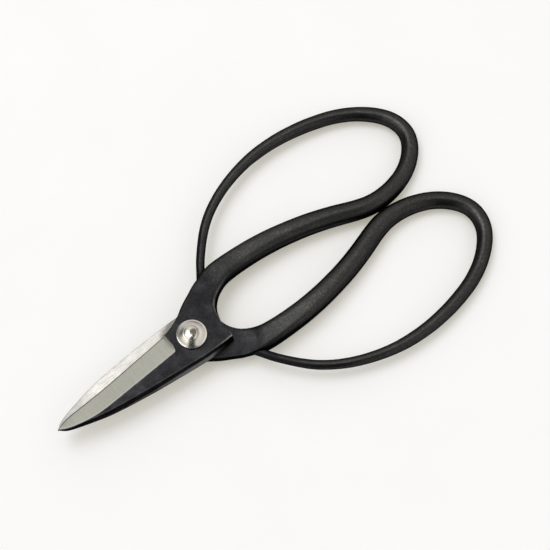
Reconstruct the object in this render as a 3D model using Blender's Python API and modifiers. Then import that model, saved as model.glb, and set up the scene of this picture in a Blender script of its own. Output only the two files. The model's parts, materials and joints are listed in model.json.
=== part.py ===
"""Floral snips: two crossed, forged halves turning on a rivet with a domed washer on each side.

The two halves are the same forging, one turned over on the other about the X axis. X runs from
the pivot to the finger bows, Z is the pivot's axis, and Z = 0 is the flat end of the rivet that
the closed tool stands on. Lengths are in millimetres and become metres when a mesh is made.
"""

import math

import bmesh
import bpy
import numpy as np
from mathutils import Matrix

MM = 0.001
COLLECTION = "floral_snips"
GAP = 0.3                    # running gap between neighbouring pieces

# Pivot stack, counted up from the shear plane between the two halves
PLATE_TOP = 4.5              # outer cheek of a half
PLATE_FLOOR = 0.5 * GAP      # inner face of a half
WASHER_RADIUS = 5.65
WASHER_RIM = 1.1             # straight side of the washer
WASHER_HEIGHT = 2.2          # washer's height at its crown
CROWN_RADIUS = 3.1           # flat ring at the top of the washer, under the rivet's head
RIVET_RADIUS = 2.2
HEAD_EDGE = (0.4, 0.05)      # how far the head's top edge is worn in and down
HEAD_SIDE = 0.3              # and how far its side stops below the top
NUB_TAPER = 0.85
HEAD_RADIUS = 2.8
HEAD_HEIGHT = 0.45
NUB_RADIUS = 1.3             # centre of the rivet's end, left proud when it is peened
NUB_HEIGHT = 0.35
WASHER_FLOOR = PLATE_TOP + GAP
HEAD_FLOOR = WASHER_FLOOR + WASHER_HEIGHT + GAP
SHEAR_PLANE = HEAD_FLOOR + HEAD_HEIGHT + NUB_HEIGHT

# Blade, seen from above with its tip at -X and its cutting edge towards +Y
TIP = (-59.5, 0.0)
SPINE = [TIP, (-57.5, -1.8), (-54.0, -3.3), (-48.0, -5.0), (-41.0, -6.7), (-33.0, -7.9),
         (-22.0, -9.1), (-10.0, -10.0), (2.0, -10.5), (12.2, -9.6)]
EDGE = [(-8.8, 6.9), (-24.0, 5.0), (-40.0, 3.1), (-52.0, 2.1), (-57.0, 1.2), TIP]
EDGE_THICKNESS = 0.25        # the edge is honed to this, so that the solid stays closed
GRIND_ANGLE = 26.8           # between the ground bevel and the inner face
GRIND_END = -7.6             # where the grinding wheel's rounded end reaches back to
GRIND_END_RADIUS = 4.2
GRIND_END_STRETCH = 1.12     # the grind's end is this much longer across the blade than along it
GRIND_BACK = -9.5            # how far the grinding tongue reaches in from the cutting edge
GRIND_FRONT = 6.0            # and how far it stands out past the edge
BLADE_CREST = [(-63.0, 0.3), (-59.5, 1.2), (-56.0, 2.1), (-50.0, 3.0), (-40.0, 3.85),
               (-26.0, 4.3), (-8.0, PLATE_TOP + 0.05)]

# Plan of the plate behind the cutting edge, and where it meets the shank
CHOIL = [(-8.3, 6.1), (-7.3, 6.1)]
SHOULDER = [(15.8, 18.0), (12.1, 16.45), (8.8, 14.7), (3.6, 11.9), (-1.05, 8.8), (-4.3, 7.25),
            (-7.3, 6.1)]
CROTCH = [(12.2, -9.6), (12.35, -7.5), (11.95, -5.0), (12.0, -2.4), (12.75, 0.45), (13.6, 2.8),
          (15.2, 5.2), (17.65, 7.5)]

# Shank and bow: x, y of the middle, half width, underside, top, and how square the section is
# (2 is an ellipse, larger is closer to a rectangle with rounded corners)
SHANK_AND_BOW = [
    (13.03, 10.87, 5.63, 0.40, 4.30, 7.0),
    (16.7, 12.9, 5.22, -0.50, 4.50, 7.0),
    (21.08, 14.71, 4.8, -2.00, 4.50, 6.0),
    (26.02, 15.48, 4.47, -3.10, 4.50, 5.5),
    (34.0, 15.7, 4.3, -3.85, 4.40, 4.6),
    (43.0, 15.25, 4.25, -4.15, 4.30, 3.6),
    (54.0, 13.7, 4.2, -4.20, 4.20, 2.8),
    (66.9, 10.6, 4.2, -4.20, 4.20, 2.2),
    (77.2, 7.1, 4.1, -4.10, 4.10, 2.0),
    (85.5, 4.5, 4.00, -4.00, 4.00, 2.0),
    (92.5, 4.05, 3.85, -3.85, 3.85, 2.0),
    (99.5, 5.2, 3.60, -3.60, 3.60, 2.0),
    (106.4, 7.9, 3.50, -3.50, 3.50, 2.0),
    (112.8, 12.8, 3.40, -3.40, 3.40, 2.0),
    (117.0, 20.0, 3.30, -3.30, 3.30, 2.0),
    (116.5, 27.3, 3.20, -3.20, 3.20, 2.0),
    (109.9, 36.2, 3.00, -3.00, 3.00, 2.0),
    (100.5, 42.3, 2.85, -2.85, 2.85, 2.0),
    (89.0, 46.1, 2.75, -2.75, 2.75, 2.0),
    (74.0, 48.3, 2.55, -2.55, 2.55, 2.0),
    (59.0, 47.5, 2.25, -2.25, 2.25, 2.0),
    (44.8, 43.4, 2.00, -2.00, 2.00, 2.0),
    (31.5, 35.7, 1.85, -1.85, 1.85, 2.0),
    (22.5, 26.4, 1.70, -1.70, 1.70, 2.0),
    (18.9, 21.6, 1.65, -1.65, 1.65, 2.0),
    (17.2, 18.7, 1.60, -1.60, 1.60, 2.0),
]
SHANK_RINGS = 92
RING_POINTS = 16
TAIL_GAP = 0.35              # between the tail's end and the shank it curls back to
PAST_TIP = -63.0             # X that every cutter of the blade starts from, clear of the tip
CLEAR_HEIGHT = 9.0           # cutters reach this far above and below the shear plane
CLEAR_WIDTH = 14.0           # and this far to each side of the blade

BLACK_OXIDE = {"color": (0.035, 0.034, 0.037), "roughness": 0.5, "metallic": 0.7}
BRIGHT_NICKEL = {"color": (0.72, 0.69, 0.64), "roughness": 0.22, "metallic": 1.0}
TURN_STEPS = 40


# ---------------------------------------------------------------- shared helpers

def clear_scene():
    """Remove every object the scene holds."""
    for obj in list(bpy.data.objects):
        bpy.data.objects.remove(obj, do_unlink=True)


def new_collection(name):
    """Make an empty collection under the scene's own."""
    collection = bpy.data.collections.new(name)
    bpy.context.scene.collection.children.link(collection)
    return collection


def make_material(name, color, roughness, metallic):
    """Make a Principled material."""
    material = bpy.data.materials.new(name)
    material.use_nodes = True
    shader = material.node_tree.nodes["Principled BSDF"]
    shader.inputs["Base Color"].default_value = (*color, 1.0)
    shader.inputs["Roughness"].default_value = roughness
    shader.inputs["Metallic"].default_value = metallic
    return material


def add_piece(name, mesh, finish, collection, parent, turned_over=False):
    """Put a finished mesh in the scene as one sub-part, hung on its body's empty."""
    piece = bpy.data.objects.new(name, mesh)
    piece.data.materials.clear()
    piece.data.materials.append(make_material(name + "_finish", **finish))
    piece.parent = parent
    piece.rotation_euler.x = math.pi if turned_over else 0.0
    collection.objects.link(piece)
    return piece


def add_cutter(name, mesh, collection):
    """Put a mesh in the scene as a guide for a Boolean."""
    cutter = bpy.data.objects.new(name, mesh)
    cutter.hide_render = True
    cutter.display_type = "WIRE"
    collection.objects.link(cutter)
    return cutter


def evaluated_mesh(obj):
    """Return the object's mesh with its modifiers carried out and loose caps welded."""
    graph = bpy.context.evaluated_depsgraph_get()
    mesh = bpy.data.meshes.new_from_object(obj.evaluated_get(graph), depsgraph=graph)
    shape = bmesh.new()
    shape.from_mesh(mesh)
    bmesh.ops.remove_doubles(shape, verts=shape.verts, dist=0.001 * MM)
    shape.to_mesh(mesh)
    shape.free()
    return mesh


def boolean(obj, operation, other):
    """Add an exact Boolean to an object."""
    modifier = obj.modifiers.new(operation.lower() + "_" + other.name, "BOOLEAN")
    modifier.operation = operation
    modifier.solver = "EXACT"
    modifier.object = other


def smooth_edges(mesh, angle=35.0):
    """Shade a mesh smooth except across its real corners."""
    mesh.shade_smooth()
    mesh.set_sharp_from_angle(angle=math.radians(angle))


def spline(points, count):
    """Natural cubic spline through the points, read at equal steps of chord length.

    The points may have any number of columns, and only the first two set the spacing.
    """
    points = np.array(points, dtype=float)
    chord = np.hypot(*np.diff(points[:, :2], axis=0).T)
    knot = np.concatenate([[0.0], np.cumsum(chord)])
    size = len(points)
    matrix = np.eye(size)
    right = np.zeros_like(points)
    slope = np.diff(points, axis=0) / chord[:, None]
    for i in range(1, size - 1):
        matrix[i, i - 1:i + 2] = (chord[i - 1], 2.0 * (chord[i - 1] + chord[i]), chord[i])
        right[i] = 6.0 * (slope[i] - slope[i - 1])
    bend = np.linalg.solve(matrix, right)
    at = np.linspace(0.0, knot[-1], count)
    i = np.clip(np.searchsorted(knot, at, side="right") - 1, 0, size - 2)
    step = chord[i][:, None]
    after = (at - knot[i])[:, None]
    before = step - after
    return ((bend[i] * before ** 3 + bend[i + 1] * after ** 3) / (6.0 * step)
            + (points[i] / step - bend[i] * step / 6.0) * before
            + (points[i + 1] / step - bend[i + 1] * step / 6.0) * after)


def outline_mesh(name, points, low, high):
    """Extrude a closed outline in millimetres from one height to another."""
    data = bpy.data.curves.new(name, "CURVE")
    data.dimensions = "2D"
    data.fill_mode = "BOTH"
    data.extrude = 0.5 * (high - low) * MM
    line = data.splines.new("POLY")
    line.points.add(len(points) - 1)
    line.use_cyclic_u = True
    for target, (x, y) in zip(line.points, points):
        target.co = (x * MM, y * MM, 0.0, 1.0)
    curve = bpy.data.objects.new(name, data)
    bpy.context.scene.collection.objects.link(curve)
    mesh = evaluated_mesh(curve)
    bpy.data.objects.remove(curve)
    mesh.transform(Matrix.Translation((0.0, 0.0, 0.5 * (low + high) * MM)))
    return mesh


def turned_mesh(name, profile, closed):
    """Turn a profile of (radius, height) about the Z axis, its outer side running downwards."""
    data = bpy.data.meshes.new(name)
    count = len(profile)
    edges = [(i, i + 1) for i in range(count - 1)]
    if closed:
        edges.append((count - 1, 0))
    data.from_pydata([(r * MM, 0.0, z * MM) for r, z in profile], edges, [])
    obj = bpy.data.objects.new(name, data)
    bpy.context.scene.collection.objects.link(obj)
    screw = obj.modifiers.new("turn", "SCREW")
    screw.steps = TURN_STEPS
    screw.render_steps = TURN_STEPS
    screw.use_merge_vertices = True
    screw.merge_threshold = 0.00001
    mesh = evaluated_mesh(obj)
    bpy.data.objects.remove(obj)
    smooth_edges(mesh)
    return mesh


# ---------------------------------------------------------------- the forged half

def plate_outline():
    """Plan of the blade, pivot plate and heel, up to where the shank leaves it."""
    spine = spline(SPINE, 26)
    crotch = spline(CROTCH, 12)
    shoulder = spline(SHOULDER, 14)
    edge = spline(EDGE, 14)
    return [*spine, *crotch[1:], *shoulder, CHOIL[0], *edge[:-1]]


def section_ring(station, along):
    """One section of the shank or bow, standing square to the path.

    It is a superellipse: |across / half width| ** n + |up / half height| ** n = 1.
    """
    x, y, half_width, low, high, squareness = station
    turn = np.linspace(0.0, 2.0 * math.pi, RING_POINTS, endpoint=False)
    power = 2.0 / squareness
    across = half_width * np.sign(np.cos(turn)) * np.abs(np.cos(turn)) ** power
    up = 0.5 * (high - low) * np.sign(np.sin(turn)) * np.abs(np.sin(turn)) ** power
    side = np.array([along[1], -along[0]])
    ring = np.empty((RING_POINTS, 3))
    ring[:, :2] = np.array([x, y]) + across[:, None] * side
    ring[:, 2] = 0.5 * (high + low) + up
    return ring


def loft_mesh(name, rings):
    """Skin a row of closed rings with four-sided faces and close both ends."""
    shape = bmesh.new()
    rows = [[shape.verts.new(point * MM) for point in ring] for ring in rings]
    for near, far in zip(rows, rows[1:]):
        for i in range(RING_POINTS):
            j = (i + 1) % RING_POINTS
            shape.faces.new((near[i], near[j], far[j], far[i]))
    shape.faces.new(rows[0])
    shape.faces.new(rows[-1])
    bmesh.ops.recalc_face_normals(shape, faces=shape.faces)
    mesh = bpy.data.meshes.new(name)
    shape.to_mesh(mesh)
    shape.free()
    return mesh


def path_heading(stations):
    """Unit vectors along the path, one for each station."""
    heading = np.gradient(stations[:, :2], axis=0)
    return heading / np.hypot(*heading.T)[:, None]


def cut_along_shank(rings, stations, heading):
    """Drop the tail's last rings and slant its end to lie along the shank's outer side.

    The end lies in an upright plane that touches the shank's side, moved out by the gap. Each
    point of the last ring slides along the tail until it meets that plane.
    """
    outward = np.stack([-heading[:, 1], heading[:, 0], 0.0 * heading[:, 0]], axis=1)
    side = stations[:, :2] + outward[:, :2] * stations[:, 2:3]
    shank = slice(0, SHANK_RINGS // 4)
    nearest = np.hypot(*(side[shank] - stations[-1, :2]).T).argmin()
    normal = outward[nearest]
    foot = np.array([*side[nearest], 0.0]) + TAIL_GAP * normal
    while ((rings[-1] - foot) @ normal).min() < TAIL_GAP:
        rings.pop()
    along = np.array([*heading[len(rings) - 1], 0.0])
    slide = -((rings[-1] - foot) @ normal) / (along @ normal)
    rings.append(rings[-1] + slide[:, None] * along)


def shank_and_bow_mesh():
    """Shank, bow and tapering tail."""
    stations = spline(SHANK_AND_BOW, SHANK_RINGS)
    heading = path_heading(stations)
    rings = [section_ring(s, h) for s, h in zip(stations, heading)]
    cut_along_shank(rings, stations, heading)
    return loft_mesh("shank_and_bow", rings)


def crest_cutter_mesh():
    """Everything above the blade's crest line, which falls towards the tip."""
    crest = spline(BLADE_CREST, 10)
    profile = [*crest, (BLADE_CREST[-1][0], CLEAR_HEIGHT), (PAST_TIP, CLEAR_HEIGHT)]
    mesh = outline_mesh("crest_cut", profile, -CLEAR_WIDTH, CLEAR_WIDTH)
    mesh.transform(Matrix.Rotation(0.5 * math.pi, 4, "X"))
    return mesh


def grind_cutter_mesh():
    """Tongue that grinds the bevel: it lies along the cutting edge, tilted by the grind angle."""
    (x0, y0), (x1, y1) = EDGE[0], EDGE[-2]
    run = math.atan2(y0 - y1, x0 - x1)
    tilt = math.radians(GRIND_ANGLE)
    back = (GRIND_END - x0) / math.cos(run)
    reach = 2.0 * GRIND_END_RADIUS
    end = [(back - GRIND_END_RADIUS * (1.0 - math.cos(a)),
            -0.5 * reach - GRIND_END_RADIUS * math.sin(a) * GRIND_END_STRETCH)
           for a in np.linspace(-0.5 * math.pi, 0.5 * math.pi, 11)]
    outline = [(PAST_TIP, GRIND_FRONT), (back - GRIND_END_RADIUS, GRIND_FRONT), *end,
               (PAST_TIP, GRIND_BACK)]
    mesh = outline_mesh("grind_cut", outline, 0.0, CLEAR_HEIGHT)
    place = Matrix.Translation((x0 * MM, y0 * MM, (PLATE_FLOOR + EDGE_THICKNESS) * MM))
    mesh.transform(place @ Matrix.Rotation(run, 4, "Z") @ Matrix.Rotation(-tilt, 4, "X"))
    return mesh


def half_mesh(cutters):
    """The upper half, about the point where the pivot's axis crosses the shear plane."""
    plate = outline_mesh("plate", plate_outline(), PLATE_FLOOR, PLATE_TOP)
    half = bpy.data.objects.new("half", plate)
    bpy.context.scene.collection.objects.link(half)
    bore = RIVET_RADIUS + GAP
    bore_profile = [(0.0, CLEAR_HEIGHT), (bore, CLEAR_HEIGHT), (bore, -CLEAR_HEIGHT),
                    (0.0, -CLEAR_HEIGHT)]
    hole = add_cutter("pivot_hole", turned_mesh("pivot_hole", bore_profile, False), cutters)
    crest = add_cutter("crest_cut", crest_cutter_mesh(), cutters)
    grind = add_cutter("grind_cut", grind_cutter_mesh(), cutters)
    shank = add_cutter("shank_and_bow", shank_and_bow_mesh(), cutters)
    boolean(half, "DIFFERENCE", crest)
    boolean(half, "DIFFERENCE", grind)
    boolean(half, "UNION", shank)
    boolean(half, "DIFFERENCE", hole)
    mesh = evaluated_mesh(half)
    mesh.name = "forged_half"
    bpy.data.objects.remove(half)
    smooth_edges(mesh)
    return mesh


# ---------------------------------------------------------------- the pivot's pieces

def washer_mesh():
    """Domed washer: a straight rim, a rounded dome and a flat crown ring round its hole."""
    bore = RIVET_RADIUS + GAP
    dome = [(CROWN_RADIUS + (WASHER_RADIUS - CROWN_RADIUS) * math.sin(a),
             WASHER_RIM + (WASHER_HEIGHT - WASHER_RIM) * math.cos(a))
            for a in np.linspace(0.0, 0.5 * math.pi, 7)]
    profile = [(bore, WASHER_HEIGHT), *dome, (WASHER_RADIUS, 0.0), (bore, 0.0)]
    return turned_mesh("washer", [(r, WASHER_FLOOR + z) for r, z in profile], True)


def rivet_mesh():
    """Rivet: a plain shaft with the same peened head and proud centre at both ends."""
    top = HEAD_FLOOR + HEAD_HEIGHT
    end = top + NUB_HEIGHT
    upper = [(0.0, end), (NUB_TAPER * NUB_RADIUS, end), (NUB_RADIUS, top),
             (HEAD_RADIUS - HEAD_EDGE[0], top - HEAD_EDGE[1]), (HEAD_RADIUS, top - HEAD_SIDE),
             (HEAD_RADIUS, HEAD_FLOOR), (RIVET_RADIUS, HEAD_FLOOR)]
    lower = [(r, -z) for r, z in reversed(upper)]
    return turned_mesh("rivet", upper + lower, False)


# ---------------------------------------------------------------- assembly

def body_empty(name, collection):
    """Empty on the pivot's axis, at the shear plane, that a body's pieces hang on."""
    empty = bpy.data.objects.new(name, None)
    empty.location = (0.0, 0.0, SHEAR_PLANE * MM)
    collection.objects.link(empty)
    return empty


def main():
    """Build the whole tool, closed."""
    clear_scene()
    parts = new_collection(COLLECTION)
    cutters = new_collection(COLLECTION + "_cutters")
    upper = body_empty("upper_body", parts)
    lower = body_empty("lower_body", parts)
    half = half_mesh(cutters)
    washer = washer_mesh()
    add_piece("upper_half", half, BLACK_OXIDE, parts, upper)
    add_piece("lower_half", half.copy(), BLACK_OXIDE, parts, lower, turned_over=True)
    add_piece("upper_washer", washer, BRIGHT_NICKEL, parts, lower)
    add_piece("lower_washer", washer.copy(), BRIGHT_NICKEL, parts, lower, turned_over=True)
    add_piece("pivot_rivet", rivet_mesh(), BRIGHT_NICKEL, parts, lower)


main()
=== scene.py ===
"""Floral snips: two crossed forged halves, a domed washer on each side and the rivet between them.

Lengths are in millimetres until a mesh is made. Heights of the halves are counted from the plane
on which they slide over each other. X runs from the pivot to the finger bows, and the cutting
edge of the upper half looks towards +Y.
"""

import json
import math

import bpy
import numpy as np
from bpy.props import FloatProperty, FloatVectorProperty, PointerProperty
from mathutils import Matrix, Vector


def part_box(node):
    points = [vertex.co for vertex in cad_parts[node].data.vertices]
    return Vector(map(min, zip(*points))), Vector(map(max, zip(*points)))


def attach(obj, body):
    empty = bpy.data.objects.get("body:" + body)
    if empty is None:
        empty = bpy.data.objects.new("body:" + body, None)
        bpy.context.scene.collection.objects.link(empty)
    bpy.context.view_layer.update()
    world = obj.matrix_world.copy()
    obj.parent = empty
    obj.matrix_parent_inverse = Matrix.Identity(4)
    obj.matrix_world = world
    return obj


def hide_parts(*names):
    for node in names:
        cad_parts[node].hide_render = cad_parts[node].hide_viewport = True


bl_info = {
    "name": "Floral Snips",
    "version": (1, 0, 0),
    "blender": (4, 5, 0),
    "location": "View3D > Sidebar > Snips",
    "description": "Forged floral snips with large finger bows",
    "category": "Object",
}

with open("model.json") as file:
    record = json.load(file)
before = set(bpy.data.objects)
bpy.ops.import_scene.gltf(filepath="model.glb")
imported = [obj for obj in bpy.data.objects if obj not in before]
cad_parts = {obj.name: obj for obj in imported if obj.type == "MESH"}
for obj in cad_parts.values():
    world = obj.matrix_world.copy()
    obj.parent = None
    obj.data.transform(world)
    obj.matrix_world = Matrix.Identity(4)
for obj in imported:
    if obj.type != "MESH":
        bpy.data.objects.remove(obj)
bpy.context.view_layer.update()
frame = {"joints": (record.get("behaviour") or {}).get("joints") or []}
MM = 0.001

# The pivot's place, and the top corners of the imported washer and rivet
PIVOT = Vector(frame["joints"][0]["pos_m"]) / MM
WASHER_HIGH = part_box("upper_washer")[1] / MM
RIVET_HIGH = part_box("pivot_rivet")[1] / MM

# Inner face and outer cheek of a half, above the plane on which the halves slide
PLATE_FLOOR = 0.15
PLATE_TOP = 4.5

# Rails of the blade and the pivot plate, seen from above
TIP = (-59.5, 0.0)
EDGE = [TIP, (-57.0, 1.2), (-52.0, 2.1), (-40.0, 3.1), (-24.0, 5.0), (-8.8, 6.9)]
SPINE = [TIP, (-57.5, -1.8), (-54.0, -3.3), (-48.0, -5.0), (-41.0, -6.7), (-33.0, -7.9),
         (-22.0, -9.1), (-10.0, -10.0), (2.0, -10.5), (12.2, -9.6)]
BEVEL_LINE = [TIP, (-57.0, -1.5), (-53.0, -3.0), (-49.0, -3.9), (-45.0, -4.35), (-40.0, -4.35),
              (-33.0, -3.85), (-23.6, -3.05), (-15.0, -2.3), (-8.7, -1.7)]
GRIND_END = [(-8.7, -1.7), (-8.15, -0.9), (-7.75, 1.2), (-7.6, 3.2), (-7.85, 4.7), (-8.35, 6.0)]
CHOIL = [(-8.8, 6.9), (-8.25, 6.1), (-7.3, 6.1)]
SHOULDER = [(-7.3, 6.1), (-4.3, 7.25), (-1.05, 8.8), (3.6, 11.9), (8.8, 14.7), (12.1, 16.45),
            (15.8, 18.0)]
CROTCH = [(12.2, -9.6), (12.35, -7.5), (11.95, -5.0), (12.0, -2.4), (12.75, 0.45), (13.6, 2.8),
          (15.2, 5.2), (17.65, 7.5)]

# Height of the blade's outer cheek along X
CREST = [(-59.5, 1.2), (-56.0, 2.1), (-50.0, 3.0), (-40.0, 3.85), (-26.0, 4.3), (-8.0, PLATE_TOP)]
# How far the top edge stands in from the bottom edge, along the spine and up the crotch
SPINE_INSET = [(-59.5, 0.05), (-57.5, 0.2), (-54.0, 0.35), (-48.0, 0.55), (-41.0, 0.75),
               (-33.0, 0.95), (-22.0, 1.15), (-8.0, 1.3), (2.0, 1.2), (12.2, 0.55)]
CROTCH_INSET = [(0.0, 0.3), (0.35, 0.4), (0.5, 1.0), (0.62, 1.6), (0.75, 1.9), (1.0, 2.0)]

# Shank: x, y of the middle, half width, underside, top, and how square the section is
SHANK = [(13.03, 10.87, 5.63, 0.4, 4.3, 7.0), (16.7, 12.9, 5.22, -0.5, 4.5, 7.0),
         (21.08, 14.71, 4.8, -2.0, 4.5, 6.0), (26.02, 15.48, 4.47, -3.1, 4.5, 5.5),
         (34.0, 15.7, 4.3, -3.85, 4.4, 4.6), (43.0, 15.25, 4.25, -4.15, 4.3, 3.6),
         (54.0, 13.7, 4.2, -4.2, 4.2, 2.8), (66.9, 10.6, 4.2, -4.2, 4.2, 2.2)]
# Bow and tail, a round rod: x, y of the middle, radius
BOW = [(77.2, 7.1, 4.1), (85.5, 4.5, 4.0), (92.5, 4.05, 3.85), (99.5, 5.2, 3.6),
       (106.4, 7.9, 3.5), (112.8, 12.8, 3.4), (117.0, 20.0, 3.3), (116.5, 27.3, 3.2),
       (109.9, 36.2, 3.0), (100.5, 42.3, 2.85), (89.0, 46.1, 2.75), (74.0, 48.3, 2.55),
       (59.0, 47.5, 2.25), (44.8, 43.4, 2.0), (31.5, 35.7, 1.85), (22.5, 26.4, 1.7),
       (18.9, 21.6, 1.65), (17.2, 18.7, 1.6)]
SHANK_AND_BOW = SHANK + [(x, y, radius, -radius, radius, 2.0) for x, y, radius in BOW]
NUB_DRIFT = (0.62, -0.44)    # how far off centre the peening left the rivet's proud middle
WALL_REFLECTION_HEIGHT = 2.3             # painted table reflection at the foot of the spine's wall, at its highest
BARE_RADIUS = 11.4           # inner face round the pivot that rubs bright
HEAD_CLEARANCE = 0.04        # between a half's cheek and its washer
WASHER_BORE = 2.4
WASHER_CROWN = 2.95          # radius at which the dome ends under the rivet's head
WASHER_LIP = 0.5             # rolled rim outside the dome
GRIND_FROM = -14.0           # X on the edge from which the grind's rounded end is followed
SPINE_STOPS = (-12.0, -7.0, -6.6, -6.0)    # X on the spine across from each of its stretches
NOTCH_TOP = (-8.1, 5.8)      # inner corner of the step between the bevel and the shoulder
SHOULDER_TURN = 7.0          # X on the shoulder across from the heel
SHANK_START = 19.0           # X at which the section is the shank's alone
SHANK_END = 25.0             # X up to which the nearest side to the tail's end is looked for
TAIL_GAP = 0.35              # between the tail's end and the shank it curls back to

# Grid of a half: rows along it, and columns round it
BLADE_ROWS = 200
GRIND_END_ROWS = 56
NOTCH_ROWS = 6
CHOIL_ROWS = 6
PLATE_ROWS = 84
CROTCH_ROWS = 64
ROD_ROWS = 400
FLOOR_COLUMNS = 24
FLANK_COLUMNS = 20
CHEEK_COLUMNS = 26
WALL_COLUMNS = 18
TURN_COLUMNS = 128
EASE_STEPS = 6               # points on each rounded corner of a turned profile

# The closed tool rests on its rivet's foot and on the far ends of its bows
REST_X, REST_DROP = BOW[6][0], BOW[6][2]
TABLE_HALF = 3.0             # half the table's side, in metres
TABLE_SINK = 0.02            # the table lies this much under the rivet's foot

# Camera: it stands on the blades' side, high above the table
VIEW_TURN = math.radians(36.34)
VIEW_HEIGHT = math.radians(67.6)
VIEW_TARGET = (39.93, 2.54)
VIEW_DISTANCE = 566.7
VIEW_LENS = 98.2
AWAY = Vector((math.sin(VIEW_TURN), math.cos(VIEW_TURN), 0.0))
RIGHT = Vector((math.cos(VIEW_TURN), -math.sin(VIEW_TURN), 0.0))
UP = Vector((0.0, 0.0, 1.0))

# Key light, in metres from the middle of the tool
KEY_SIDE = AWAY * 0.55 - RIGHT * 0.83
KEY_OUT, KEY_UP = 0.85, 2.25
KEY_SIZE, KEY_POWER = 1.3, 17.0

# Patches of the room seen in the polished metal: direction, cosines of core and rim, level
ROOM_PATCHES = (((-0.76, 0.56, 0.34), 0.85, 0.5, 0.6), ((-0.4, 0.76, 0.52), 0.98, 0.9, 0.3),
                ((-0.64, 0.17, 0.74), 0.96, 0.82, 2.3), ((0.84, -0.15, 0.52), 0.94, 0.76, 1.1))

# Fixed colours of the finishes
# lighter skin of the shank and bow: hand polish and a painted highlight
HANDLED_SKIN_AND_SHEEN = (0.058, 0.057, 0.054, 1.0)
# painted highlight along the bevel's border
BEVEL_BORDER_HIGHLIGHT = (0.8, 0.79, 0.75, 1.0)
# painted shadow along the cutting edge
CUT_SHADE = (0.06, 0.06, 0.05, 1.0)
# painted shade along the inner face's edge at the spine
FOOT_SHADE = (0.12, 0.12, 0.11, 1.0)
# painted reflection: the inner face darker towards the tip
TIP_DARK_REFLECTION = (0.16, 0.16, 0.15, 1.0)
# painted shade on the inner face in a ragged ring round the pivot
PIVOT_SHADE = (0.10, 0.095, 0.08, 1.0)
# painted dark reflection round the rivet's proud middle
NUB_DARK_REFLECTION = (0.09, 0.08, 0.065, 1.0)
BEVEL_TINT = (1.36, 1.37, 1.27)
FACE_TINT = (0.83, 0.825, 0.81)
IN_PLAN = (1.0, 1.0, 0.0)    # keeps a position's X and Y


# ---- settings ----

class SnipsShape(bpy.types.PropertyGroup):
    """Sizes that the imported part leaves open."""

    forging_wave: FloatProperty(
        name="Forging Wave", description="Height of the slow hammer waves in the black skin",
        default=0.05 * MM, min=0.0, soft_max=0.2 * MM, precision=6, unit="LENGTH")
    # width of the rubbed edges and of the painted highlights along them
    edge_wear_and_sheen: FloatProperty(
        name="Edge Wear Width", description="How far rubbed edges shine through",
        default=0.22 * MM, min=0.01 * MM, soft_max=1.0 * MM, precision=6, unit="LENGTH")
    hollow: FloatProperty(
        name="Grind End Hollow", description="Width of the grind end's hollow for its height",
        default=0.3, min=0.05, max=1.0)
    pivot_hole: FloatProperty(
        name="Pivot Hole", description="Radius of the hole that the rivet turns in",
        default=2.4 * MM, min=2.21 * MM, max=3.0 * MM, precision=6, unit="LENGTH")


class SnipsFinish(bpy.types.PropertyGroup):
    """Colours of the finishes."""

    black: FloatVectorProperty(
        name="Black Oxide", description="Blackened forging skin", subtype="COLOR",
        default=(0.0155, 0.0155, 0.0165), min=0.0, max=1.0)
    # colour of rubbed steel, also used for painted highlights on edges and a painted table
    # reflection on the spine's wall
    worn_and_sheen: FloatVectorProperty(
        name="Rubbed Steel", description="Steel that shows through a rubbed edge",
        subtype="COLOR", default=(0.30, 0.285, 0.255), min=0.0, max=1.0)
    ground: FloatVectorProperty(
        name="Ground Steel", description="Bevel and inner face as they leave the wheel",
        subtype="COLOR", default=(0.53, 0.52, 0.49), min=0.0, max=1.0)
    nickel: FloatVectorProperty(
        name="Bright Nickel", description="Washers and rivet", subtype="COLOR",
        default=(0.80, 0.755, 0.68), min=0.0, max=1.0)
    table: FloatVectorProperty(
        name="Table", description="Floor under the snips", subtype="COLOR",
        default=(0.70, 0.71, 0.78), min=0.0, max=1.0)
    table_glow: FloatVectorProperty(
        name="Table Glow", description="Light that the table gives back evenly", subtype="COLOR",
        default=(0.33, 0.315, 0.246), min=0.0, max=1.0)


# ---- curves and grids ----

def along(points, shares):
    """Natural cubic spline by chord length, read at shares from 0 to 1 of its length.

    The bends at the points solve the usual tridiagonal system, and each stretch is the cubic
    that has those bends at its ends. Only the first two columns set the spacing.
    """
    points = np.asarray(points, dtype=float)
    chord = np.hypot(*np.diff(points[:, :2], axis=0).T)
    knot = np.concatenate([[0.0], np.cumsum(chord)])
    slope = np.diff(points, axis=0) / chord[:, None]
    matrix = np.diag(np.r_[1.0, 2.0 * (chord[:-1] + chord[1:]), 1.0])
    matrix += np.diag(np.r_[0.0, chord[1:]], 1) + np.diag(np.r_[chord[:-1], 0.0], -1)
    right = np.zeros_like(points)
    right[1:-1] = 6.0 * np.diff(slope, axis=0)
    bend = np.linalg.solve(matrix, right)
    at = np.asarray(shares) * knot[-1]
    i = np.clip(np.searchsorted(knot, at, side="right") - 1, 0, len(chord) - 1)
    step = chord[i][:, None]
    after = (at - knot[i])[:, None]
    before = step - after
    return ((bend[i] * before ** 3 + bend[i + 1] * after ** 3) / (6.0 * step)
            + (points[i] / step - bend[i] * step / 6.0) * before
            + (points[i + 1] / step - bend[i + 1] * step / 6.0) * after)


def sweep(points, first, last, rows):
    """A curve between two shares of its length, in equal steps, without its last row."""
    return along(points, np.linspace(first, last, rows, endpoint=False))


def share_at(points, x, top=1.0):
    """The share of a curve's length at which it passes the given X."""
    shares = np.linspace(0.0, top, 800)
    return float(np.interp(x, along(points, shares)[:, 0], shares))


def leftward(line):
    """Unit vectors square to a line in plan, on its left: its heading turned a quarter."""
    heading = np.gradient(line[:, :2], axis=0)
    heading /= np.hypot(*heading.T)[:, None]
    return np.stack([-heading[:, 1], heading[:, 0]], axis=1)


def smooth_step(value, low, high):
    """0 below low, 1 above high, and 3t^2 - 2t^3 between them."""
    t = np.clip((value - low) / (high - low), 0.0, 1.0)
    return t * t * (3.0 - 2.0 * t)


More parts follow.
